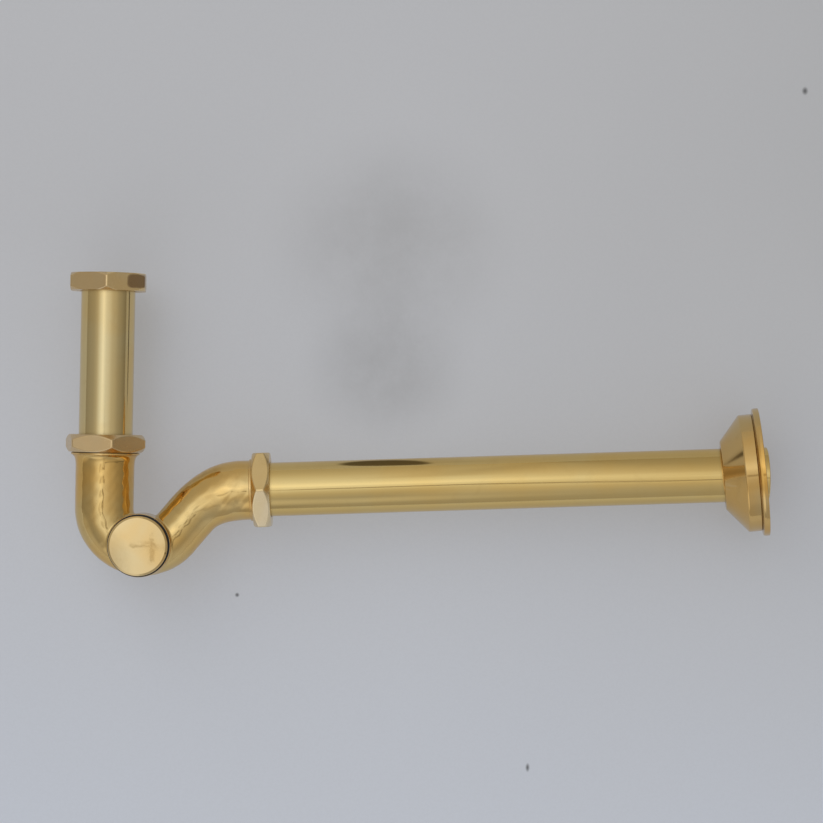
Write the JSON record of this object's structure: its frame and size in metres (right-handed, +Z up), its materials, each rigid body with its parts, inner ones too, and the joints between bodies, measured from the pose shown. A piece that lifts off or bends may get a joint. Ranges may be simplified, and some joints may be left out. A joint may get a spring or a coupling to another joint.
{
  "type": "p trap",
  "caption": "Brass basin P-trap: cast bend with a cleanout cap, an inlet tube with a coupling nut, slip joints, a wall tube and a loose wall flange.",
  "frame": {"origin": "middle of the whole object's bounding box along X and Z, and on the plane that holds the inlet and wall tube axes in Y", "axes": "+Z up along the inlet tube towards the basin, +X towards the wall, -Y out of the cleanout cap"},
  "size_m": [0.4222, 0.0762, 0.1794],
  "materials": {
    "cast_brass": "polished",
    "tube_brass": "polished",
    "nut_brass": "satin",
    "ring_brass": "satin",
    "flange_brass": "satin",
    "cap_brass": "polished",
    "rubber": "matt"
  },
  "bodies": {
    "trap": {"trap_body": "cast_brass"},
    "inlet_seal": {"inlet_cone_washer": "rubber"},
    "inlet_pipe": {"inlet_tube": "tube_brass"},
    "coupling_nut": {"coupling_nut": "nut_brass"},
    "coupling_seal": {"coupling_washer": "rubber"},
    "inlet_ring": {"inlet_slip_ring": "ring_brass"},
    "inlet_nut": {"inlet_slip_nut": "nut_brass"},
    "outlet_seal": {"outlet_cone_washer": "rubber"},
    "wall_pipe": {"wall_tube": "tube_brass"},
    "outlet_ring": {"outlet_slip_ring": "ring_brass"},
    "outlet_nut": {"outlet_slip_nut": "nut_brass"},
    "flange_grip": {"flange_grip_ring": "rubber"},
    "flange": {"wall_flange": "flange_brass"},
    "cleanout_seal": {"cleanout_gasket": "rubber"},
    "cleanout_cap": {"cleanout_cap": "cap_brass"}
  },
  "joints": [
    {"name": "inlet_swivel", "type": "hinge", "parent": "trap", "child": "inlet_seal", "pos_m": [-0.1861, 0, -0.01145], "axis": [0, 0, 1], "continuous": true},
    {"name": "inlet_height", "type": "slide", "parent": "inlet_seal", "child": "inlet_pipe", "axis": [0, 0, 1], "range_m": [0, 0.008]},
    {"name": "coupling_nut_slide", "type": "slide", "parent": "inlet_pipe", "child": "coupling_nut", "axis": [0, 0, -1], "range_m": [0, 0.072]},
    {"name": "coupling_washer_lift", "type": "slide", "parent": "inlet_pipe", "child": "coupling_seal", "axis": [0, 0, 1], "range_m": [0, 0.015]},
    {"name": "inlet_nut_travel", "type": "slide", "parent": "trap", "child": "inlet_ring", "axis": [0, 0, 1], "range_m": [0, 0.006]},
    {"name": "inlet_nut_spin", "type": "hinge", "parent": "inlet_ring", "child": "inlet_nut", "pos_m": [-0.1861, 0, -0.01145], "axis": [0, 0, 1], "range_deg": [0, 1441]},
    {"name": "outlet_swivel", "type": "hinge", "parent": "trap", "child": "outlet_seal", "pos_m": [-0.09241, 0, -0.0372], "axis": [0.9987, 0, 0.0504], "continuous": true},
    {"name": "outlet_reach", "type": "slide", "parent": "outlet_seal", "child": "wall_pipe", "axis": [0.9987, 0, 0.0504], "range_m": [0, 0.008]},
    {"name": "outlet_nut_travel", "type": "slide", "parent": "trap", "child": "outlet_ring", "axis": [0.9987, 0, 0.0504], "range_m": [0, 0.006]},
    {"name": "outlet_nut_spin", "type": "hinge", "parent": "outlet_ring", "child": "outlet_nut", "pos_m": [-0.09241, 0, -0.0372], "axis": [0.9987, 0, 0.0504], "range_deg": [0, 1441]},
    {"name": "flange_slide", "type": "slide", "parent": "wall_pipe", "child": "flange_grip", "axis": [-0.9987, 0, -0.0504], "range_m": [0, 0.24]},
    {"name": "flange_rock", "type": "hinge", "parent": "flange_grip", "child": "flange", "pos_m": [0.18294, 0, -0.0233], "axis": [0.0395, -0.6207, -0.783], "range_deg": [-12.2, 0]},
    {"name": "cleanout_travel", "type": "slide", "parent": "trap", "child": "cleanout_seal", "axis": [0, -1, 0], "range_m": [0, 0.009]},
    {"name": "cleanout_spin", "type": "hinge", "parent": "cleanout_seal", "child": "cleanout_cap", "pos_m": [-0.1631, 0, -0.07085], "axis": [0, -1, 0], "range_deg": [0, 2161]}
  ],
  "couplings": [
    {"joint": "inlet_nut_spin", "follows": "inlet_nut_travel", "rad_per_m": 4188.8},
    {"joint": "outlet_nut_spin", "follows": "outlet_nut_travel", "rad_per_m": 4188.8},
    {"joint": "cleanout_spin", "follows": "cleanout_travel", "rad_per_m": 4188.8}
  ]
}
